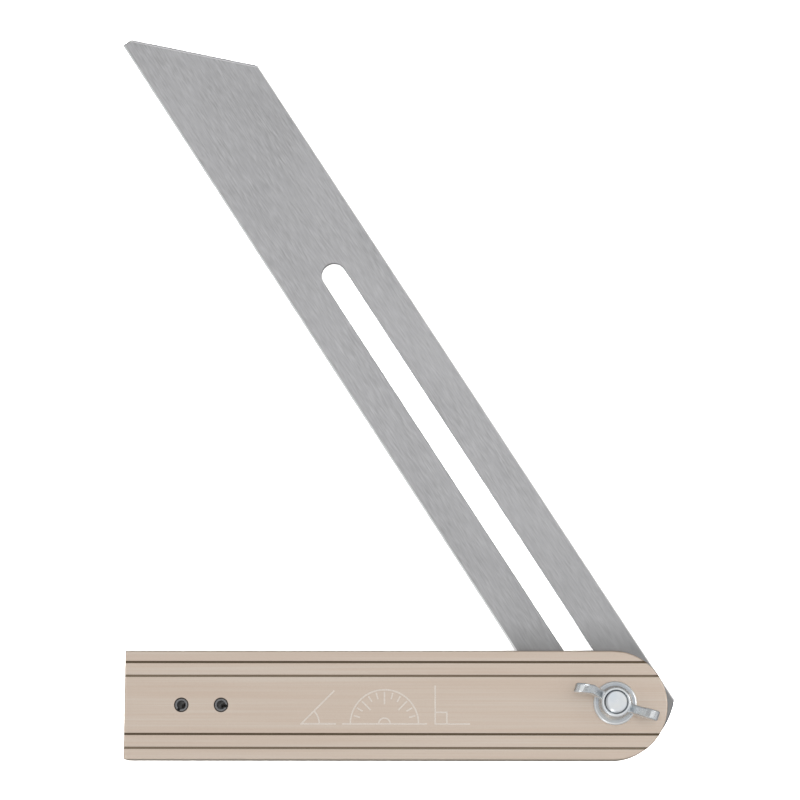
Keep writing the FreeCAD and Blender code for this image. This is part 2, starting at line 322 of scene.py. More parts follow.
@dataclass(frozen=True)
class AnodisedAluminium:
    """Champagne anodised extrusion.

    The satin oxide film spreads highlights. Die lines run the length of the bar, the rounded long edges are
    painted darker as painted shade, and the narrow grooves are dark brown lines, partly dirt and partly
    painted shade.
    """

    base: str = "#D7C7B8"
    cool: str = "#DFD5CA"
    warm: str = "#D2BFAF"
    # groove tones: partly dirt, partly painted shade
    groove_dark: str = "#6A5D4D"
    groove_light: str = "#8A7D6C"
    # tone of the painted shade on the rounded long edges
    edge_shade: str = "#B3A698"
    # how much of the cool and warm tones and of the painted edge shade shows at most
    cool_share: float = 0.6
    warm_share: float = 0.55
    outer_shade_share: float = 0.7
    roughness: float = 0.4
    # die lines are commonly about 0.1 mm wide; these are drawn coarser so that they show
    die_line_mm: tuple[float, float, float] = (70.0, 0.6, 0.6)
    stain_mm: tuple[float, float, float] = (90.0, 3.0, 3.0)
    mottle_mm: tuple[float, float, float] = (0.5, 0.5, 0.5)
    relief_mm: float = 0.006
    # where the flat of the face runs into the rounded edge and the side
    side_mm: tuple[float, float] = (14.55, 14.9)
    # how far the dark of a groove runs past its walls, and how far under the face it starts
    groove_spill_mm: float = 0.02
    face_skin_mm: float = 0.03

    def make(self, name: str, grooves: Grooves | None = None, face_mm: float = 0.0) -> bpy.types.Material:
        """Build the material.

        Args:
            name: Material name.
            grooves: Grooves of the piece, if it has any.
            face_mm: Height of the front face over the rear face, both of which are grooved.

        Returns:
            The finished material.
        """
        skin = Surface(name)
        lines = skin.noise(skin.coordinates(self.die_line_mm), 4.0)
        stains = skin.noise(skin.coordinates(self.stain_mm), 2.0)
        mottle = skin.noise(skin.coordinates(self.mottle_mm), 2.0)
        colour = skin.mix(skin.spread(lines, 0.0, self.cool_share, 0.35, 0.65), self.base, self.cool)
        colour = skin.mix(skin.spread(stains, 0.0, self.warm_share), colour, self.warm)
        if grooves:
            colour = self.darken_grooves(skin, colour, grooves, face_mm)
        skin.feed("Base Color", colour)
        skin.set(Metallic=1.0)
        skin.feed("Roughness", skin.spread(mottle, self.roughness - 0.05, self.roughness + 0.07))
        grain = skin.math("ADD", skin.math("MULTIPLY", lines, 0.7), skin.math("MULTIPLY", mottle, 0.3))
        skin.bump(grain, self.relief_mm)
        return skin.material

    def darken_grooves(
        self, skin: Surface, colour: bpy.types.NodeSocket, grooves: Grooves, face_mm: float
    ) -> bpy.types.NodeSocket:
        """Paint the grooves dark, partly as dirt and partly as painted shade, the upper one of each pair
        darker, and paint shade on the long edges.

        Args:
            skin: Surface being built.
            colour: Colour of the bar.
            grooves: Grooves of the piece.
            face_mm: Height of the front face over the rear face.

        Returns:
            The colour with the grooves and the sides in it.
        """
        apart = add_node(skin.tree, "ShaderNodeSeparateXYZ", links={0: skin.place})
        across, height = apart.outputs["Y"], apart.outputs["Z"]
        from_faces = skin.math("MINIMUM", height, skin.math("SUBTRACT", face_mm * MM, height))
        in_depth = skin.math(
            "MULTIPLY",
            skin.math("GREATER_THAN", from_faces, self.face_skin_mm * MM),
            skin.math("LESS_THAN", from_faces, (grooves.depth_mm + self.groove_spill_mm) * MM),
        )
        # the grooves' dark brown is partly dirt and partly painted shade; the upper groove of each pair gets
        # the darker tone
        for offset_mm, tone in (
            (grooves.outer_mm, self.groove_dark),
            (grooves.inner_mm, self.groove_light),
            (-grooves.inner_mm, self.groove_dark),
            (-grooves.outer_mm, self.groove_light),
        ):
            distance = skin.math("ABSOLUTE", skin.math("SUBTRACT", across, offset_mm * MM))
            inside = skin.math("LESS_THAN", distance, (grooves.width_mm / 2 + self.groove_spill_mm) * MM)
            colour = skin.mix(skin.math("MULTIPLY", inside, in_depth), colour, tone)
        # the rounded long edges are painted darker: painted shade
        inner, outer = (edge * MM for edge in self.side_mm)
        side = skin.spread(skin.math("ABSOLUTE", across), 0.0, self.outer_shade_share, inner, outer)
        return skin.mix(side, colour, self.edge_shade)


@dataclass(frozen=True)
class BrushedSteel:
    """Stainless blade brushed along its length.

    Short fine streaks, a satin sheen and a faint mottle, a thin painted highlight along each ground edge, and
    painted shade on the steel towards the stock, darkest where the blade comes out from under the side
    plates.
    """

    base: str = "#B3B3B5"
    light: str = "#C9C9CB"
    dark: str = "#A5A5A6"
    # tone of the painted shade towards the stock
    stock_shade: str = "#7C7C7C"
    # tone of the painted highlight along the ground edges
    edge_highlight: str = "#F2F2F3"
    roughness: float = 0.36
    edge_line_mm: float = 0.35
    line_fade_mm: float = 0.1
    bevel_mm: float = 0.35
    # distances from the stock's middle between which the two layers of painted shade fade out
    inner_shade_mm: tuple[float, float] = (15.5, 24.0)
    outer_shade_mm: tuple[float, float] = (20.0, 75.0)
    inner_shade_share: float = 0.45
    outer_shade_share: float = 0.22
    patch_share: float = 0.6
    cloud_share: float = 0.35
    long_edge_highlight_share: float = 0.8
    end_highlight_share: float = 0.5
    # brush marks are commonly under 0.05 mm wide; these are drawn coarser so that they show
    streak_mm: tuple[float, float, float] = (4.0, 0.42, 0.42)
    patch_mm: tuple[float, float, float] = (6.0, 2.2, 2.2)
    cloud_mm: tuple[float, float, float] = (40.0, 18.0, 18.0)
    relief_mm: float = 0.01

    def make(
        self, name: str, along: float, centre: Vector, half_width_mm: float, mitre_mm: float
    ) -> bpy.types.Material:
        """Build the material.

        Args:
            name: Material name.
            along: Direction of the brushing from +X, in radians.
            centre: Point that the pattern is centred on.
            half_width_mm: Half of the blade's width.
            mitre_mm: Where the line of the 45 degree end crosses the blade's middle, past the centre.

        Returns:
            The finished material.
        """
        skin = Surface(name)
        streaks = skin.noise(skin.coordinates(self.streak_mm, along, centre), 4.0, 0.6)
        patches = skin.noise(skin.coordinates(self.patch_mm, along, centre), 3.0)
        clouds = skin.noise(skin.coordinates(self.cloud_mm, along, centre), 1.0)
        colour = skin.mix(skin.spread(streaks, 0.0, 1.0), self.dark, self.light)
        colour = skin.mix(skin.spread(patches, 0.0, self.patch_share), colour, self.base)
        colour = skin.mix(skin.spread(clouds, 0.0, self.cloud_share), colour, self.light)
        # painted shade towards the stock
        colour = skin.mix(self.stock_shade_share(skin), colour, self.stock_shade)
        # painted highlight along the ground edges
        highlight_line = self.edge_highlight_share(skin, along, centre, half_width_mm, mitre_mm)
        skin.feed("Base Color", skin.mix(highlight_line, colour, self.edge_highlight))
        skin.set(Metallic=1.0)
        skin.feed("Roughness", skin.spread(streaks, self.roughness + 0.06, self.roughness - 0.05))
        skin.bump(streaks, self.relief_mm)
        return skin.material

    def stock_shade_share(self, skin: Surface) -> bpy.types.NodeSocket:
        """Share of the painted shade, which is greatest where the blade comes out of the stock.

        Args:
            skin: Surface being built.

        Returns:
            The socket with the share.
        """
        millimetres = skin.coordinates((1.0, 1.0, 1.0))
        out = add_node(skin.tree, "ShaderNodeSeparateXYZ", links={0: millimetres}).outputs["Y"]
        return skin.math(
            "ADD",
            skin.spread(out, self.inner_shade_share, 0.0, *self.inner_shade_mm),
            skin.spread(out, self.outer_shade_share, 0.0, *self.outer_shade_mm),
        )

    def edge_highlight_share(
        self, skin: Surface, along: float, centre: Vector, half_width_mm: float, mitre_mm: float
    ) -> bpy.types.NodeSocket:
        """Share of the painted highlight: thin lines on the long edges and inside the bevel of the 45 degree
        end.

        Args:
            skin: Surface being built.
            along: Direction of the blade from +X, in radians.
            centre: Point on the blade's middle line.
            half_width_mm: Half of the blade's width.
            mitre_mm: Where the line of the 45 degree end crosses the blade's middle, past the centre.

        Returns:
            The socket with the share.
        """
        millimetres = skin.coordinates((1.0, 1.0, 1.0), along, centre)
        apart = add_node(skin.tree, "ShaderNodeSeparateXYZ", links={0: millimetres})
        reach, across = apart.outputs["X"], apart.outputs["Y"]
        inner = half_width_mm - self.edge_line_mm
        long_edge_highlight = skin.spread(
            skin.math("ABSOLUTE", across), 0.0, self.long_edge_highlight_share, inner - self.line_fade_mm, inner
        )
        short = skin.math("SUBTRACT", mitre_mm, skin.math("SUBTRACT", reach, across))
        from_end = skin.math("DIVIDE", short, math.sqrt(2))
        half_line = self.edge_line_mm / 2
        off_line = skin.math("ABSOLUTE", skin.math("SUBTRACT", from_end, self.bevel_mm + half_line))
        end_highlight = skin.spread(
            off_line, self.end_highlight_share, 0.0, half_line, half_line + self.line_fade_mm
        )
        return skin.math("MAXIMUM", long_edge_highlight, end_highlight)


@dataclass(frozen=True)
class Zone:
    """Round zone about an upright axis where a plated piece gets painted shade or a painted highlight.

    The shares are how much of the tone shows inside and outside the border, which runs between two radii.
    """

    centre: Vector
    tone: str
    inside: float
    outside: float
    border_mm: tuple[float, float]


@dataclass(frozen=True)
class ZincPlate:
    """Zinc plating with a clear passivate: a cool, milky mirror with faint blue and straw patches."""

    base: str
    blue: str
    straw: str
    patch_mm: tuple[float, float, float] = (3.0, 3.0, 3.0)
    tint_mm: tuple[float, float, float] = (5.0, 3.5, 4.0)
    blue_share: float = 0.8
    straw_share: float = 0.5
    roughness_spread: float = 0.06

    def make(
        self, name: str, roughness: float, texture_mm: float, depth_mm: float, zone: Zone | None = None
    ) -> bpy.types.Material:
        """Build the material.

        Args:
            name: Material name.
            roughness: Middle value of the roughness.
            texture_mm: Size of the bumps left by forming.
            depth_mm: Height of those bumps.
            zone: Round zone with a tone of its own, if there is one.

        Returns:
            The finished material.
        """
        skin = Surface(name)
        patches = skin.noise(skin.coordinates(self.patch_mm), 2.0)
        tints = skin.noise(skin.coordinates(self.tint_mm), 1.0)
        pits = skin.noise(skin.coordinates((texture_mm,) * 3), 3.0)
        colour = skin.mix(skin.spread(patches, 0.0, self.blue_share), self.base, self.blue)
        colour = skin.mix(skin.spread(tints, 0.0, self.straw_share), colour, self.straw)
        if zone:
            share = skin.spread(skin.from_axis(zone.centre), zone.inside, zone.outside, *zone.border_mm)
            colour = skin.mix(share, colour, zone.tone)
        skin.feed("Base Color", colour)
        skin.set(Metallic=1.0)
        off = self.roughness_spread
        skin.feed("Roughness", skin.spread(pits, roughness - off, roughness + off))
        skin.bump(pits, depth_mm)
        return skin.material


@dataclass(frozen=True)
class TemperedSpringSteel:
    """Oil-tempered spring steel, rolled from strip: dark grey, a soft sheen, and a bore painted black as
    painted shade.
    """

    base: str = "#8C8D8F"
    dark: str = "#6C6C6E"
    # near black: painted shade deep in the bore
    bore_shade: str = "#0B0B0B"
    roughness: float = 0.34
    # real rolling lines are finer; these are drawn coarser so that they show up close
    line_mm: tuple[float, float, float] = (0.3, 0.3, 4.0)
    bore_fade_mm: float = 0.12
    relief_mm: float = 0.01

    def make(self, name: str, centre: Vector, bore_radius_mm: float) -> bpy.types.Material:
        """Build the material.

        Args:
            name: Material name.
            centre: Point of the pin's axis.
            bore_radius_mm: Radius of the bore, whose wall is painted almost black as painted shade.

        Returns:
            The finished material.
        """
        skin = Surface(name)
        lines = skin.noise(skin.coordinates(self.line_mm), 3.0)
        colour = skin.mix(skin.spread(lines, 0.0, 1.0), self.dark, self.base)
        wall = bore_radius_mm + self.bore_fade_mm
        # the bore's wall is painted near black: painted shade deep in the hole
        bore_shade_share = skin.spread(skin.from_axis(centre), 1.0, 0.0, bore_radius_mm, wall)
        skin.feed("Base Color", skin.mix(bore_shade_share, colour, self.bore_shade))
        skin.set(Metallic=1.0)
        skin.feed("Roughness", skin.spread(lines, self.roughness, self.roughness + 0.12))
        skin.bump(lines, self.relief_mm)
        return skin.material


@dataclass(frozen=True)
class EtchedOxide:
    """Laser-etched lines: the colour is burnt out of the oxide film, which leaves a pale chalky trace."""

    base: str = "#F2EAE2"
    faint: str = "#E6DCD1"
    # laser spots are commonly under 0.1 mm; these are drawn coarser so that they show up close
    spot_mm: tuple[float, float, float] = (0.25, 0.25, 0.25)
    relief_mm: float = 0.004

    def make(self, name: str) -> bpy.types.Material:
        """Build the material.

        Args:
            name: Material name.

        Returns:
            The finished material.
        """
        skin = Surface(name)
        grain = skin.noise(skin.coordinates(self.spot_mm), 2.0)
        skin.feed("Base Color", skin.mix(skin.spread(grain, 0.0, 1.0), self.base, self.faint))
        skin.set(Metallic=1.0)
        skin.feed("Roughness", skin.spread(grain, 0.5, 0.65))
        skin.bump(grain, self.relief_mm)
        return skin.material


# ---------------------------------------------------------------------------------------------------------
# Modelling helpers
# ---------------------------------------------------------------------------------------------------------


def deselect_all() -> None:
    """Leave nothing selected."""
    bpy.ops.object.select_all(action="DESELECT")


def select_only(*items: bpy.types.Object) -> None:
    """Select these objects, with the first one active."""
    deselect_all()
    for item in items:
        item.select_set(True)
    bpy.context.view_layer.objects.active = items[0]


@contextmanager
def editing(item: bpy.types.Object, mode: str = "FACE") -> Iterator[bmesh.types.BMesh]:
    """Edit mode on one object, with nothing selected at the start.

    Args:
        item: Object to edit.
        mode: Select mode, VERT, EDGE or FACE.

    Yields:
        The live edit mesh.
    """
    select_only(item)
    bpy.ops.object.mode_set(mode="EDIT")
    bpy.ops.mesh.select_mode(type=mode)
    bpy.ops.mesh.select_all(action="DESELECT")
    yield bmesh.from_edit_mesh(item.data)
    bpy.ops.object.mode_set(mode="OBJECT")


def apply_modifier(item: bpy.types.Object, kind: str, **settings: object) -> None:
    """Add a modifier with its settings and apply it.

    Args:
        item: Object that gets the modifier.
        kind: Blender's name for the modifier type.
        settings: Properties of the modifier.
    """
    select_only(item)
    modifier = item.modifiers.new(kind.lower(), kind)
    for name, value in settings.items():
        setattr(modifier, name, value)
    bpy.ops.object.modifier_apply(modifier=modifier.name)


def join(name: str, items: list[bpy.types.Object]) -> bpy.types.Object:
    """Join objects into the first one and name it.

    Args:
        name: Name of the result.
        items: Objects to join.

    Returns:
        The joined object.
    """
    select_only(*items)
    if len(items) > 1:
        bpy.ops.object.join()
    items[0].name = name
    items[0].data.name = name
    return items[0]


def combine(item: bpy.types.Object, tool: bpy.types.Object, operation: str) -> None:
    """Combine an object with a second one, which is used up.

    Args:
        item: Object that keeps the result.
        tool: Second object.
        operation: UNION, DIFFERENCE or INTERSECT.
    """
    apply_modifier(item, "BOOLEAN", operation=operation, solver="EXACT", object=tool)
    bpy.data.objects.remove(tool)


def rounded_corner(
    centre: tuple[float, float], radius: float, start_deg: float, end_deg: float, pieces: int = 6
) -> list[tuple[float, float]]:
    """Points of an arc for a turned section.

    Args:
        centre: Centre of the arc, as distance from the axis and height.
        radius: Radius of the arc.
        start_deg: Direction of the first point.
        end_deg: Direction of the last point.
        pieces: Number of straight pieces.

    Returns:
        The points from start to end.
    """
    angles = [math.radians(start_deg + (end_deg - start_deg) * i / pieces) for i in range(pieces + 1)]
    return [(centre[0] + radius * math.cos(a), centre[1] + radius * math.sin(a)) for a in angles]


def drawn_line(name: str, points_mm: list[tuple[float, float]], origin: Vector) -> bpy.types.Object:
    """Line in the upright plane of +X, drawn by extruding one vertex from point to point.

    Args:
        name: Name of the object.
        points_mm: Distances from the object's axis and heights, in millimetres.
        origin: Place of the object's axis and zero height.

    Returns:
        The line, with its object at the origin given.
    """
    deselect_all()
    bpy.ops.mesh.primitive_plane_add(size=MM, location=origin)
    line = bpy.context.object
    line.name = name
    with editing(line, "VERT"):
        bpy.ops.mesh.select_all(action="SELECT")
        bpy.ops.mesh.merge(type="CENTER")
        bpy.ops.transform.translate(value=(points_mm[0][0] * MM, 0, points_mm[0][1] * MM))
        for start, end in zip(points_mm, points_mm[1:]):
            step = ((end[0] - start[0]) * MM, 0, (end[1] - start[1]) * MM)
            bpy.ops.mesh.extrude_region_move(TRANSFORM_OT_translate={"value": step})
    return line


def close_seams(item: bpy.types.Object) -> None:
    """Merge doubled vertices, close open ends and point the faces outwards."""
    with editing(item, "VERT"):
        bpy.ops.mesh.select_all(action="SELECT")
        bpy.ops.mesh.remove_doubles(threshold=DOUBLES_MM * MM)
        bpy.ops.mesh.fill_holes(sides=0)
        bpy.ops.mesh.normals_make_consistent(inside=False)


def turned(
    name: str, points_mm: list[tuple[float, float]], origin: Vector, facets: int = 96
) -> bpy.types.Object:
    """Solid turned about an upright axis from half of its section.

    Args:
        name: Name of the object.
        points_mm: Distances from the axis and heights, in millimetres.
        origin: Place of the axis and zero height.
        facets: Number of facets round the axis.

    Returns:
        The closed solid.
    """
    solid = drawn_line(name, points_mm, origin)
    apply_modifier(solid, "SCREW", axis="Z", steps=facets, render_steps=facets)
    close_seams(solid)
    return solid


def slice_off(item: bpy.types.Object, point: Vector, outwards: Vector) -> None:
    """Cut a solid flat at a plane and close the cut.

    Args:
        item: Solid to cut.
        point: Point of the plane.
        outwards: Direction of the side that is taken away.
    """
    with editing(item):
        bpy.ops.mesh.select_all(action="SELECT")
        bpy.ops.mesh.bisect(
            plane_co=point, plane_no=outwards, use_fill=True, clear_outer=True, threshold=ON_PLANE_MM * MM
        )


def settle(item: bpy.types.Object, smooth_degrees: float = 30.0) -> bpy.types.Object:
    """Apply the object's place to its mesh, point its faces outwards and smooth its shading.

    Args:
        item: Finished object.
        smooth_degrees: Edges sharper than this stay sharp.

    Returns:
        The same object.
    """
    select_only(item)
    bpy.ops.object.transform_apply(location=True, rotation=True, scale=True)
    with editing(item, "VERT"):
        bpy.ops.mesh.select_all(action="SELECT")
        bpy.ops.mesh.remove_doubles(threshold=DOUBLES_MM * MM)
        bpy.ops.mesh.normals_make_consistent(inside=False)
    with editing(item) as mesh:
        torn = sum(not edge.is_manifold for edge in mesh.edges)
    if torn:
        LOG.warning("%s has %d edges that are not shared by two faces", item.name, torn)
    select_only(item)
    bpy.ops.object.shade_smooth_by_angle(angle=math.radians(smooth_degrees))
    return item


def dress(item: bpy.types.Object, material: bpy.types.Material) -> None:
    """Give an object one material and report it.

    Args:
        item: Object to finish.
        material: Its only material.
    """
    item.data.materials.clear()
    item.data.materials.append(material)
    LOG.info("%s is finished in %s", item.name, material.name)


def mount(item: bpy.types.Object, body: Body, replaces: str | None = None) -> None:
    """Make a piece move with a body and hide the CAD node that it stands for.

    Args:
        item: Finished piece.
        body: Body it rides on.
        replaces: CAD node it stands for, if any.
    """
    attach(item, body.value)
    if replaces:
        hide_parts(replaces)
    LOG.info("%s rides on %s", item.name, body.value)


# ---------------------------------------------------------------------------------------------------------
# Sub-assemblies
# ---------------------------------------------------------------------------------------------------------


@dataclass
class Stock:
    """The two grooved cheeks, the butt spacer and the spring pins, with the etched angle symbols."""

    nodes: dict[str, bpy.types.Object]
    grooves: Grooves = Grooves(inner_mm=8.0, outer_mm=11.8, width_mm=0.65, depth_mm=0.5)
    pin_bore_mm: float = 2.3
    # the symbols: middle of the protractor, foot line of all three, and width and rise of the strokes
    mark_x_mm: float = -3.0
    foot_mm: float = -5.2
    stroke_mm: float = 0.42
    stroke_rise_mm: float = 0.012
    # half protractor: half of its foot line, radii of its arcs, and of its marks' ends
    protractor_half_mm: float = 11.5
    protractor_radius_mm: float = 9.4
    hub_radius_mm: float = 1.6
    mark_outer_mm: float = 8.6
    mark_inner_mm: float = 7.2
    long_mark_inner_mm: float = 5.6
    # acute angle: distance left of the middle, far end of its slanting arm, and its arc
    acute_offset_mm: float = 23.0
    acute_arm_mm: tuple[float, float] = (9.0, 9.0)
    acute_arc_mm: float = 5.0
    # right angle: distance right of the middle, height of its upright arm, and its small square
    right_offset_mm: float = 14.0
    right_height_mm: float = 10.4
    right_square_mm: float = 3.2
    # foot arm of both angles
    arm_mm: float = 9.4

    def build(self) -> None:
        """Dress the CAD nodes and add the etched symbols."""
        aluminium = AnodisedAluminium()
        cheek_skin = aluminium.make("champagne_anodised_cheek", self.grooves, self.face_z() / MM)
        for name in ("front_cheek", "rear_cheek"):
            dress(self.nodes[name], cheek_skin)
        dress(self.nodes["butt_spacer"], aluminium.make("champagne_anodised_spacer"))
        for name in ("spring_pin_outer", "spring_pin_inner"):
            low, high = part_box(name)
            skin = TemperedSpringSteel().make(f"shaded_bore_{name}", (low + high) / 2, self.pin_bore_mm / 2)
            dress(self.nodes[name], skin)
        mark = self.etched_symbols()
        dress(mark, EtchedOxide().make("etched_oxide"))
        mount(mark, Body.STOCK)

    def raise_stroke(self, line: bpy.types.Object) -> bpy.types.Object:
        """Give a flat stroke its small height."""
        with editing(line, "FACE"):
            bpy.ops.mesh.select_all(action="SELECT")
            rise = {"value": (0, 0, self.stroke_rise_mm * MM)}
            bpy.ops.mesh.extrude_region_move(TRANSFORM_OT_translate=rise)
        close_seams(line)
        return line

    def stroke(self, start: tuple[float, float], end: tuple[float, float]) -> bpy.types.Object:
        """Straight etched line on the front face.

        Args:
            start: First end, in millimetres.
            end: Second end, in millimetres.

        Returns:
            The line.
        """
        middle = ((start[0] + end[0]) / 2 * MM, (start[1] + end[1]) / 2 * MM, self.face_z())
        span = math.dist(start, end) * MM
        angle = math.atan2(end[1] - start[1], end[0] - start[0])
        deselect_all()
        bpy.ops.mesh.primitive_plane_add(size=1, location=middle, rotation=(0, 0, angle))
        line = bpy.context.object
        line.scale = (span + self.stroke_mm * MM, self.stroke_mm * MM, 1)
        bpy.ops.object.transform_apply(location=True, rotation=True, scale=True)
        return self.raise_stroke(line)

    def curve(
        self, centre: tuple[float, float], radius: float, start_deg: float, sweep_deg: float
    ) -> bpy.types.Object:
        """Etched arc, spun from one short edge.

        Args:
            centre: Centre, in millimetres.
            radius: Radius of the line's middle, in millimetres.
            start_deg: Direction of the first end.
            sweep_deg: Angle swept, anticlockwise.

        Returns:
            The arc.
        """
        start = math.radians(start_deg)
        spot = (centre[0] + radius * math.cos(start), centre[1] + radius * math.sin(start))
        deselect_all()
        bpy.ops.mesh.primitive_plane_add(
            size=self.stroke_mm * MM,
            location=(spot[0] * MM, spot[1] * MM, self.face_z()),
            rotation=(0, 0, start),
        )
        arc = bpy.context.object
        bpy.ops.object.transform_apply(location=True, rotation=True, scale=True)
        with editing(arc, "EDGE") as mesh:
            leading = max(mesh.edges, key=lambda edge: self.turn_of(edge, centre, start))
            leading.select_set(True)
            bmesh.update_edit_mesh(arc.data)
            bpy.ops.mesh.spin(
                steps=max(6, round(sweep_deg / 3)), angle=-math.radians(sweep_deg),
                center=(centre[0] * MM, centre[1] * MM, self.face_z()), axis=(0, 0, 1),
            )
        return self.raise_stroke(arc)

    @staticmethod
    def turn_of(edge: bmesh.types.BMEdge, centre: tuple[float, float], start: float) -> float:
        """Angle of an edge's middle about a centre, past a starting direction."""
        middle = (edge.verts[0].co + edge.verts[1].co) / 2
        angle = math.atan2(middle.y - centre[1] * MM, middle.x - centre[0] * MM) - start
        return (angle + math.pi) % (2 * math.pi) - math.pi

    @staticmethod
    def face_z() -> float:
        """Height of the front face."""
        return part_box("front_cheek")[1].z

    def etched_symbols(self) -> bpy.types.Object:
        """Three plain geometry symbols: an acute angle, a half protractor and a right angle.

        Returns:
            The symbols as one thin mesh on the front face.
        """
        strokes = self.half_protractor() + self.acute_angle() + self.right_angle()
        mark = join("etched_angle_symbols", strokes[:1])
        for stroke in strokes[1:]:
            combine(mark, stroke, "UNION")
        return settle(mark)

    def half_protractor(self) -> list[bpy.types.Object]:
        """Foot line, arc, eleven marks 15 degrees apart and a small hub.

        Returns:
            The strokes.
        """
        x, foot = self.mark_x_mm, self.foot_mm
        strokes = [
            self.stroke((x - self.protractor_half_mm, foot), (x + self.protractor_half_mm, foot)),
            self.curve((x, foot), self.protractor_radius_mm, 0, 180),
        ]
        for step in range(1, 12):
            angle = math.radians(15 * step)
            inner = self.mark_inner_mm if step % 3 else self.long_mark_inner_mm
            start, end = (
                (x + radius * math.cos(angle), foot + radius * math.sin(angle))
                for radius in (inner, self.mark_outer_mm)
            )
            strokes.append(self.stroke(start, end))
        return [*strokes, self.curve((x, foot), self.hub_radius_mm, 0, 180)]

    def acute_angle(self) -> list[bpy.types.Object]:
        """Foot arm, slanting arm and the arc between them.

        Returns:
            The strokes.
        """
        x, foot = self.mark_x_mm - self.acute_offset_mm, self.foot_mm
        return [
            self.stroke((x, foot), (x + self.arm_mm, foot)),
            self.stroke((x, foot), (x + self.acute_arm_mm[0], foot + self.acute_arm_mm[1])),
            self.curve((x, foot), self.acute_arc_mm, 0, 45),
        ]

    def right_angle(self) -> list[bpy.types.Object]:
        """Foot arm, upright arm and the small square between them.

        Returns:
            The strokes.
        """
        x, foot, square = self.mark_x_mm + self.right_offset_mm, self.foot_mm, self.right_square_mm
        return [
            self.stroke((x, foot), (x + self.arm_mm, foot)),
            self.stroke((x, foot), (x, foot + self.right_height_mm)),
            self.stroke((x, foot + square), (x + square, foot + square)),
            self.stroke((x + square, foot), (x + square, foot + square)),
        ]


@dataclass
class Blade:
    """The slotted steel blade."""

    nodes: dict[str, bpy.types.Object]
    slide_axis: Vector
    pivot: Vector
    width_mm: float = 29.6
    reach_mm: float = 235.9
    tip_flat_mm: float = 3.0

    def build(self) -> None:
        """Dress the blade with brushing along its length."""
        half = self.width_mm / 2
        mitre = self.reach_mm - half + self.tip_flat_mm
        skin = BrushedSteel().make("brushed_stainless_blade", self.angle(), self.pivot, half, mitre)
        dress(self.nodes["blade"], skin)

    def angle(self) -> float:
        """Direction of the blade from +X, in radians."""
        return math.atan2(-self.slide_axis.y, -self.slide_axis.x)


@dataclass(frozen=True)
class Thread:
    """Right-hand M6 thread: 1 mm pitch, with its crests and roots flattened."""

    pitch_mm: float = 1.0
    root_mm: float = 2.45
    crest_mm: float = 2.93
    facets: int = 48
    # places along one pitch: the root flat's end, the crest flat's two ends and the next root flat's start
    flank_shares: tuple[float, ...] = (0.0, 0.1, 0.42, 0.58, 0.9, 1.0)

    def rod(
        self, name: str, axis: Vector, low_mm: float, high_mm: float, grow_mm: float = 0.0
    ) -> bpy.types.Object:
        """Threaded rod that reaches past two heights, for cutting to length.

        Every rod on one axis has its thread in step with the others, because each starts at a whole number
        of pitches.

        Args:
            name: Name of the object.
            axis: Point of the axis at zero height.
            low_mm: Lowest height that is used.
            high_mm: Highest height that is used.
            grow_mm: Extra radius, for the nut's side of the thread.

        Returns:
            The closed rod.
        """
        root, crest, pitch = self.root_mm + grow_mm, self.crest_mm + grow_mm, self.pitch_mm
        first = math.floor(low_mm / pitch) - 2
        turns = math.ceil(high_mm / pitch) + 1 - first
        flank = list(zip((root, root, crest, crest, root, root), self.flank_shares))
        points = [(radius, (first + share) * pitch) for radius, share in flank]
        rod = drawn_line(name, points, axis)
        apply_modifier(
            rod, "SCREW", axis="Z", steps=self.facets, render_steps=self.facets, iterations=turns,
            screw_offset=pitch * MM,
        )
        close_seams(rod)
        return rod


@dataclass
class ClampBolt:
    """Bolt whose flatted neck keeps it square to the blade's slot."""

    axis: Vector
    thread: Thread
    slot_angle: float
    head_height_mm: float = 2.9
    head_bevel_mm: float = 0.7
    neck_radius_mm: float = 3.7
    neck_flats_mm: float = 6.8
    neck_top_mm: float = 6.9
    end_bevel_mm: float = 0.22
    head_edge_mm: float = 0.12
    # run from the head's flat to its rounded rim: how far in it starts and how far it rises
    head_run_mm: tuple[float, float] = (0.15, 0.06)
    # what the pieces reach into each other, and what the shank's blank stands out past the crests
    overlap_mm: float = 0.5
    blank_spare_mm: float = 0.02

    def build(self) -> bpy.types.Object:
        """Turn the head and neck, cut the flats and add the threaded shank.

        Returns:
            The finished bolt.
        """
        low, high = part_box("clamp_bolt")
        foot, end = low.z / MM, high.z / MM
        head_radius = (high.x - low.x) / 2 / MM
        run_in, run_up = self.head_run_mm
        under_head, bevel, edge = foot + self.head_height_mm, self.head_bevel_mm, self.head_edge_mm
        head = turned("threaded_clamp_bolt", [
            (0, foot), (head_radius - bevel - run_in, foot), (head_radius - bevel, foot + run_up),
            *rounded_corner((head_radius - bevel, foot + bevel), bevel, -70, 0, 4),
            (head_radius, under_head - edge), (head_radius - edge, under_head), (0, under_head),
        ], self.axis)
        combine(head, self.neck(under_head), "UNION")
        combine(head, self.shank(end), "UNION")
        return settle(head)

    def neck(self, under_head: float) -> bpy.types.Object:
        """Round neck with two flats.

        Args:
            under_head: Height of the head's inner face, in millimetres.

        Returns:
            The neck, sunk a little into the head.
        """
        radius, foot, top = self.neck_radius_mm, under_head - self.overlap_mm, self.neck_top_mm
        neck = turned("neck", [(0, foot), (radius, foot), (radius, top), (0, top)], self.axis)
        across = Vector((-math.sin(self.slot_angle), math.cos(self.slot_angle), 0))
        for side in (across, -across):
            slice_off(neck, self.axis + side * self.neck_flats_mm / 2 * MM, side)
        return neck

    def shank(self, end: float) -> bpy.types.Object:
        """Threaded shank with a bevelled end.

        Args:
            end: Height of the bolt's end, in millimetres.

        Returns:
            The shank, sunk a little into the neck.
        """
        start, radius, bevel = self.neck_top_mm - self.overlap_mm, self.thread.crest_mm, self.end_bevel_mm
        wide = radius + self.blank_spare_mm
        shank = self.thread.rod("shank", self.axis, start, end)
        blank = turned("blank", [
            (0, start), (wide, start), (wide, end - bevel), (radius - bevel, end), (0, end),
        ], self.axis)
        combine(shank, blank, "INTERSECT")
        return shank


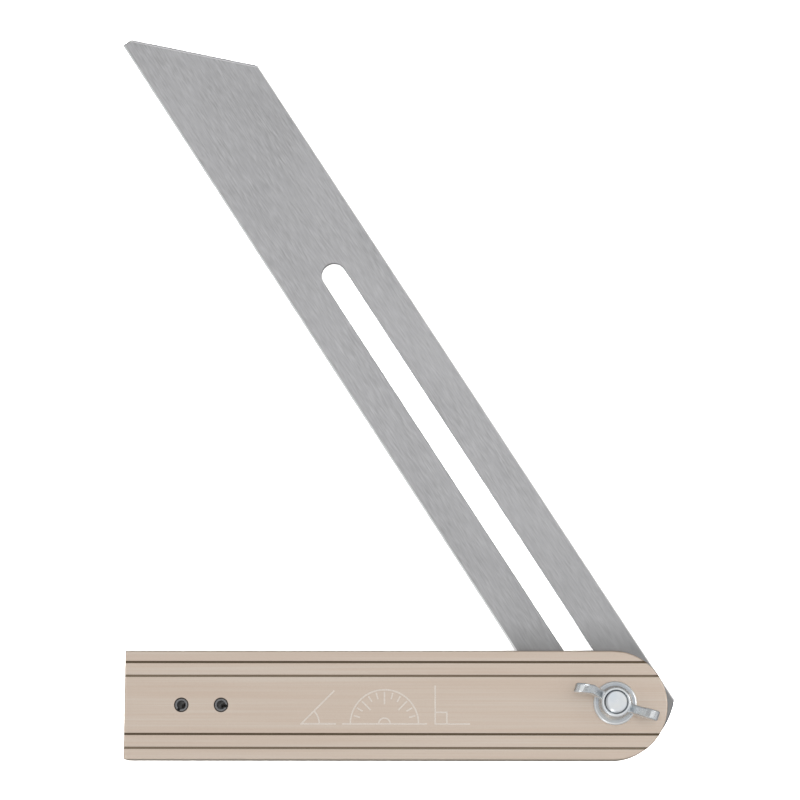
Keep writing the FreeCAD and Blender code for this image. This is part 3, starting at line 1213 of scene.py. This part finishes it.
@dataclass
class FlatWasher:
    """Stamped flat washer: its upper rim is rolled over by the punch."""

    axis: Vector
    bore_radius_mm: float = 3.2
    rim_radius_mm: float = 0.55
    bore_round_mm: float = 0.3
    edge_mm: float = 0.12

    def build(self) -> bpy.types.Object:
        """Turn the washer.

        Returns:
            The finished washer.
        """
        low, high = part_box("washer")
        radius, bottom, top = (high.x - low.x) / 2 / MM, low.z / MM, high.z / MM
        bore, rim, round_mm, edge = self.bore_radius_mm, self.rim_radius_mm, self.bore_round_mm, self.edge_mm
        washer = turned("stamped_washer", [
            (bore, bottom + edge), (bore + edge, bottom), (radius - edge, bottom), (radius, bottom + edge),
            *rounded_corner((radius - rim, top - rim), rim, 0, 90),
            *rounded_corner((bore + round_mm, top - round_mm), round_mm, 90, 180, 4), (bore, bottom + edge),
        ], self.axis)
        return settle(washer)


@dataclass
class WingNut:
    """Cast wing nut: two bent wings with rounded tips, run into a stepped boss with a tapped hole."""

    axis: Vector
    thread: Thread
    turn_deg: float = -18.5
    foot_radius_mm: float = 4.7
    crown_radius_mm: float = 4.15
    step_mm: float = 1.2
    step_edge_mm: float = 0.2
    # hollow between the foot and the crown: how far out from the crown and how far over the step
    hollow_mm: tuple[tuple[float, float], ...] = ((0.15, 0.25), (0.0, 0.6))
    boss_height_mm: float = 5.6
    crown_edge_mm: float = 0.35
    seat_spare_mm: float = 0.5
    countersink_mm: float = 3.3
    # sections of a wing from inside the boss to its tip: distance from the axis, lower edge, upper edge
    outlines_mm: tuple[tuple[float, float, float], ...] = (
        (2.6, 1.4, 4.4), (3.9, 1.5, 5.3), (5.4, 1.7, 6.7), (7.0, 2.1, 8.4), (8.4, 2.9, 9.8),
        (9.7, 3.9, 10.4), (10.8, 5.1, 10.2), (11.6, 6.3, 9.5), (12.0, 7.3, 8.6),
    )
    tip_reach_mm: float = 12.0
    bend_reach_mm: float = 7.0
    right_bend_mm: float = 0.5
    right_tip_mm: float = 0.3
    left_bend_mm: float = 1.1
    left_tip_mm: float = -0.05
    root_thickness_mm: float = 2.3
    tip_thickness_mm: float = 2.7
    edge_mm: float = 0.6
    voxel_mm: float = 0.13
    melt_steps: int = 6
    thread_play_mm: float = 0.1

    def build(self) -> bpy.types.Object:
        """Model the casting, set it in place and cut its seat and its thread.

        Returns:
            The finished nut.
        """
        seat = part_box("wing_nut")[0].z
        nut = join("cast_wing_nut", [
            self.boss(),
            self.wing("right_wing", self.right_bend_mm, self.right_tip_mm, 0.0),
            self.wing("left_wing", self.left_bend_mm, self.left_tip_mm, math.pi),
        ])
        apply_modifier(nut, "REMESH", mode="VOXEL", voxel_size=self.voxel_mm * MM)
        apply_modifier(nut, "SMOOTH", factor=0.5, iterations=self.melt_steps)
        nut.location = (self.axis.x, self.axis.y, seat)
        nut.rotation_euler = (0, 0, math.radians(self.turn_deg))
        select_only(nut)
        bpy.ops.object.transform_apply(location=True, rotation=True, scale=True)
        combine(nut, self.tap(seat / MM), "DIFFERENCE")
        slice_off(nut, Vector((self.axis.x, self.axis.y, seat)), Vector((0, 0, -1)))
        return settle(nut, 50.0)

    def boss(self) -> bpy.types.Object:
        """Stepped round boss, a little too long at its seat.

        Returns:
            The boss, about its own axis.
        """
        start, foot, foot_edge = -self.seat_spare_mm, self.foot_radius_mm, self.step_edge_mm
        crown, crown_edge = self.crown_radius_mm, self.crown_edge_mm
        step, height = self.step_mm, self.boss_height_mm
        return turned("boss", [
            (0, start), (foot, start), (foot, step - foot_edge), (foot - foot_edge, step),
            *((crown + out, step + up) for out, up in self.hollow_mm),
            (crown, height - crown_edge), (crown - crown_edge, height), (0, height),
        ], Vector((0, 0, 0)))

    def wing(self, name: str, bend: float, tip: float, turn: float) -> bpy.types.Object:
        """One wing, extruded section by section from inside the boss to its tip.

        Args:
            name: Name of the object.
            bend: Sideways offset where the wing bends, in millimetres.
            tip: Sideways offset at the tip, in millimetres.
            turn: Direction of the wing, in radians.

        Returns:
            The wing, about the nut's own axis.
        """
        sections = [
            (
                Vector((reach, self.sway(reach, bend, tip), (low + high) / 2)),
                self.thickness(reach),
                high - low,
            )
            for reach, low, high in self.outlines_mm
        ]
        centre, thickness, height = sections[0]
        deselect_all()
        bpy.ops.mesh.primitive_plane_add(size=1, location=centre * MM, rotation=(0, math.pi / 2, 0))
        wing = bpy.context.object
        wing.name = name
        wing.scale = (height * MM, thickness * MM, 1)
        bpy.ops.object.transform_apply(location=True, rotation=True, scale=True)
        with editing(wing):
            bpy.ops.mesh.select_all(action="SELECT")
            for before, after in zip(sections, sections[1:]):
                step = (after[0] - before[0]) * MM
                bpy.ops.mesh.extrude_region_move(TRANSFORM_OT_translate={"value": step})
                bpy.ops.transform.resize(
                    value=(1, after[1] / before[1], after[2] / before[2]), center_override=after[0] * MM
                )
        close_seams(wing)
        with editing(wing, "EDGE"):
            bpy.ops.mesh.edges_select_sharp(sharpness=math.radians(45))
            bpy.ops.mesh.bevel(offset=self.edge_mm * MM, segments=3, clamp_overlap=True)
        wing.rotation_euler = (0, 0, turn)
        select_only(wing)
        bpy.ops.object.transform_apply(location=True, rotation=True, scale=True)
        return wing

    def sway(self, reach: float, bend: float, tip: float) -> float:
        """Sideways place of a wing's middle at one reach, all in millimetres."""
        if reach < self.bend_reach_mm:
            return -bend * reach / self.bend_reach_mm
        past_bend = (reach - self.bend_reach_mm) / (self.tip_reach_mm - self.bend_reach_mm)
        return -bend - (tip - bend) * past_bend

    def thickness(self, reach: float) -> float:
        """Thickness of a wing at one reach, in millimetres."""
        growth = self.tip_thickness_mm - self.root_thickness_mm
        return self.root_thickness_mm + growth * reach / self.tip_reach_mm

    def tap(self, seat: float) -> bpy.types.Object:
        """Cutter for the tapped hole and its two countersinks.

        Args:
            seat: Height of the nut's seat, in millimetres.

        Returns:
            The cutter.
        """
        crown, narrow = seat + self.boss_height_mm, self.thread.root_mm
        cutter = self.thread.rod("tap", self.axis, seat, crown, self.thread_play_mm)
        wide = self.countersink_mm
        for face, way in ((seat, 1), (crown, -1)):
            depth = way * (wide - narrow)
            combine(cutter, turned("countersink", [
                (0, face - way), (wide + 1, face - way), (narrow, face + depth), (0, face + depth),
            ], self.axis), "UNION")
        return cutter


@dataclass
class Clamp:
    """The bolt, washer and wing nut that lock the blade."""

    pivot: Vector
    slot_angle: float
    bright_zinc: ZincPlate = ZincPlate(base="#E4E7EA", blue="#D6DEE6", straw="#E4E4DF")
    # the washer's zinc is painted darker than the bolt's and the nut's: painted shade
    shaded_zinc: ZincPlate = ZincPlate(base="#BCC0C4", blue="#ADB5BE", straw="#C0BFB8")

    def build(self) -> None:
        """Build, dress and mount the three pieces."""
        thread = Thread()
        axis = Vector((self.pivot.x, self.pivot.y, 0))
        bolt = ClampBolt(axis, thread, self.slot_angle).build()
        dress(bolt, self.bright_zinc.make("zinc_plated_bolt", roughness=0.32, texture_mm=1.5, depth_mm=0.05))
        mount(bolt, Body.BOLT, "clamp_bolt")

        washer = FlatWasher(axis).build()
        # painted highlight on the rounded rim
        rim_highlight = Zone(axis, "#EDF0F2", inside=0.0, outside=1.0, border_mm=(5.4, 5.6))
        dress(washer, self.shaded_zinc.make(
            "zinc_plated_washer", roughness=0.3, texture_mm=2.0, depth_mm=0.02, zone=rim_highlight
        ))
        mount(washer, Body.WASHER, "washer")

        nut = WingNut(axis, thread).build()
        # painted shade in the countersink round the bolt
        countersink_shade = Zone(axis, "#9AA0A6", inside=0.8, outside=0.0, border_mm=(3.25, 3.45))
        dress(nut, self.bright_zinc.make(
            "zinc_plated_casting", roughness=0.27, texture_mm=2.2, depth_mm=0.09, zone=countersink_shade
        ))
        mount(nut, Body.WING_NUT, "wing_nut")


# ---------------------------------------------------------------------------------------------------------
# Surroundings
# ---------------------------------------------------------------------------------------------------------


@dataclass
class Studio:
    """Pale floor, soft lamps and the camera."""

    eye_mm: tuple[float, float, float] = (21.0, -41.5, 768.0)
    aim_mm: tuple[float, float, float] = (1.1, 85.3, 12.0)
    lens_mm: float = 122.8
    sensor_mm: float = 36.0
    floor_size: float = 6.0
    floor_drop_mm: float = 0.05
    floor_colour: str = "#F4F4F3"
    # places in metres of the wide lamps that light the table, and the point that every lamp faces
    table_lamps: tuple[tuple[str, tuple[float, float, float]], ...] = (
        ("left_table_lamp", (-0.9, 0.1, 0.9)),
        ("right_table_lamp", (0.9, 0.1, 0.9)),
        ("back_table_lamp", (0.0, 1.0, 0.9)),
        ("front_table_lamp", (0.0, -0.8, 0.9)),
    )
    table_lamp_size: float = 0.9
    table_lamp_watts: float = 45.0
    lamp_target: tuple[float, float, float] = (0.0, 0.09, 0.0)
    # soft boxes that only show as gloss: place in metres and watts
    gloss_boxes: tuple[tuple[str, tuple[float, float, float], float], ...] = (
        ("front_gloss_box", (-0.35, -0.7, 0.6), 0.9),
        ("right_gloss_box", (0.7, 0.2, 0.6), 1.2),
    )
    gloss_box_size: float = 0.3
    # brightness of the sky by height: 0 is straight down, 0.5 the horizon and 1 straight up
    sky_steps: tuple[tuple[float, float], ...] = (
        (0.0, 0.3), (0.4, 0.34), (0.53, 0.68), (0.67, 0.68), (0.75, 0.42), (0.85, 0.44), (0.92, 0.76),
        (0.975, 0.96),
    )
    front_tilt: float = 0.12

    def build(self) -> None:
        """Add the floor, the light and the camera."""
        self.floor()
        self.light()
        self.camera()

    def floor(self) -> None:
        """Plain white floor just under the tool."""
        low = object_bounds()[0]
        deselect_all()
        bpy.ops.mesh.primitive_plane_add(
            size=self.floor_size, location=(0, 0.1, low[2] - self.floor_drop_mm * MM)
        )
        ground = bpy.context.object
        ground.name = "floor"
        surface = Surface("white_studio_floor")
        surface.set(Base_Color=linear_colour(self.floor_colour), Roughness=0.9, Specular_IOR_Level=0.1)
        dress(ground, surface.material)
        ground.visible_glossy = False
        ground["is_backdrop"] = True

    def light(self) -> None:
        """Add the sky, the lamps that light the table and the boxes that show as gloss."""
        self.sky_dome()
        for name, place in self.table_lamps:
            self.lamp(name, place, self.table_lamp_size, self.table_lamp_watts).visible_glossy = False
        for name, place, watts in self.gloss_boxes:
            self.lamp(name, place, self.gloss_box_size, watts).visible_diffuse = False

    def sky_dome(self) -> None:
        """Sky that is brightest overhead, dimmer towards the horizon, below it and behind."""
        world = bpy.data.worlds.new("studio_sky")
        world.use_nodes = True
        tree = world.node_tree
        background = tree.nodes["Background"]
        background.inputs["Color"].default_value = linear_colour("#FFFFFF")
        direction = add_node(tree, "ShaderNodeTexCoord").outputs["Generated"]
        apart = add_node(tree, "ShaderNodeSeparateXYZ", links={0: direction})
        lift = {"From Min": -1.0, "From Max": 1.0}
        height = add_node(tree, "ShaderNodeMapRange", None, lift, {"Value": apart.outputs["Z"]})
        ramp = add_node(tree, "ShaderNodeValToRGB", links={0: height.outputs["Result"]})
        while len(ramp.color_ramp.elements) < len(self.sky_steps):
            ramp.color_ramp.elements.new(1.0)
        for element, (position, value) in zip(ramp.color_ramp.elements, self.sky_steps):
            element.position = position
            element.color = (value, value, value, 1)
        tilted = add_node(
            tree, "ShaderNodeMath", {"operation": "MULTIPLY_ADD"}, {1: -self.front_tilt},
            {0: apart.outputs["Y"], 2: ramp.outputs["Color"]},
        )
        tree.links.new(tilted.outputs[0], background.inputs["Strength"])
        bpy.context.scene.world = world

    def lamp(
        self, name: str, place: tuple[float, float, float], size: float, power: float
    ) -> bpy.types.Object:
        """Square area lamp turned to the tool.

        Args:
            name: Lamp name.
            place: Where it hangs, in metres.
            size: Side of the square, in metres.
            power: Power in watts.

        Returns:
            The lamp object.
        """
        light = bpy.data.lights.new(name, "AREA")
        light.shape = "SQUARE"
        light.size = size
        light.energy = power
        holder = bpy.data.objects.new(name, light)
        bpy.context.collection.objects.link(holder)
        holder.location = place
        facing = Vector(self.lamp_target) - Vector(place)
        holder.rotation_euler = facing.to_track_quat("-Z", "Y").to_euler()
        return holder

    def camera(self) -> None:
        """Camera almost straight above the stock, tipped towards the blade."""
        lens = bpy.data.cameras.new("camera")
        lens.sensor_width = self.sensor_mm
        lens.lens = self.lens_mm
        lens.clip_start = 0.01
        holder = bpy.data.objects.new("camera", lens)
        bpy.context.collection.objects.link(holder)
        eye, aim = Vector(self.eye_mm) * MM, Vector(self.aim_mm) * MM
        holder.location = eye
        holder.rotation_euler = Vector((0, 0, -1)).rotation_difference(aim - eye).to_euler()
        bpy.context.scene.camera = holder
        bpy.context.scene.view_settings.view_transform = "Standard"


def main() -> None:
    """Load the frame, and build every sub-assembly and the studio."""
    logging.basicConfig(level=logging.INFO, format="%(name)s: %(message)s")
    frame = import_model()
    joints = {joint["name"]: joint for joint in frame["joints"]}
    pivot = Vector(joints["blade_swing"]["pos_m"])
    slide_axis = Vector(joints["blade_slide"]["axis"])
    Stock(frame["nodes"]).build()
    blade = Blade(frame["nodes"], slide_axis, pivot)
    blade.build()
    Clamp(pivot, blade.angle()).build()
    Studio().build()


if __name__ == "__main__":
    main()
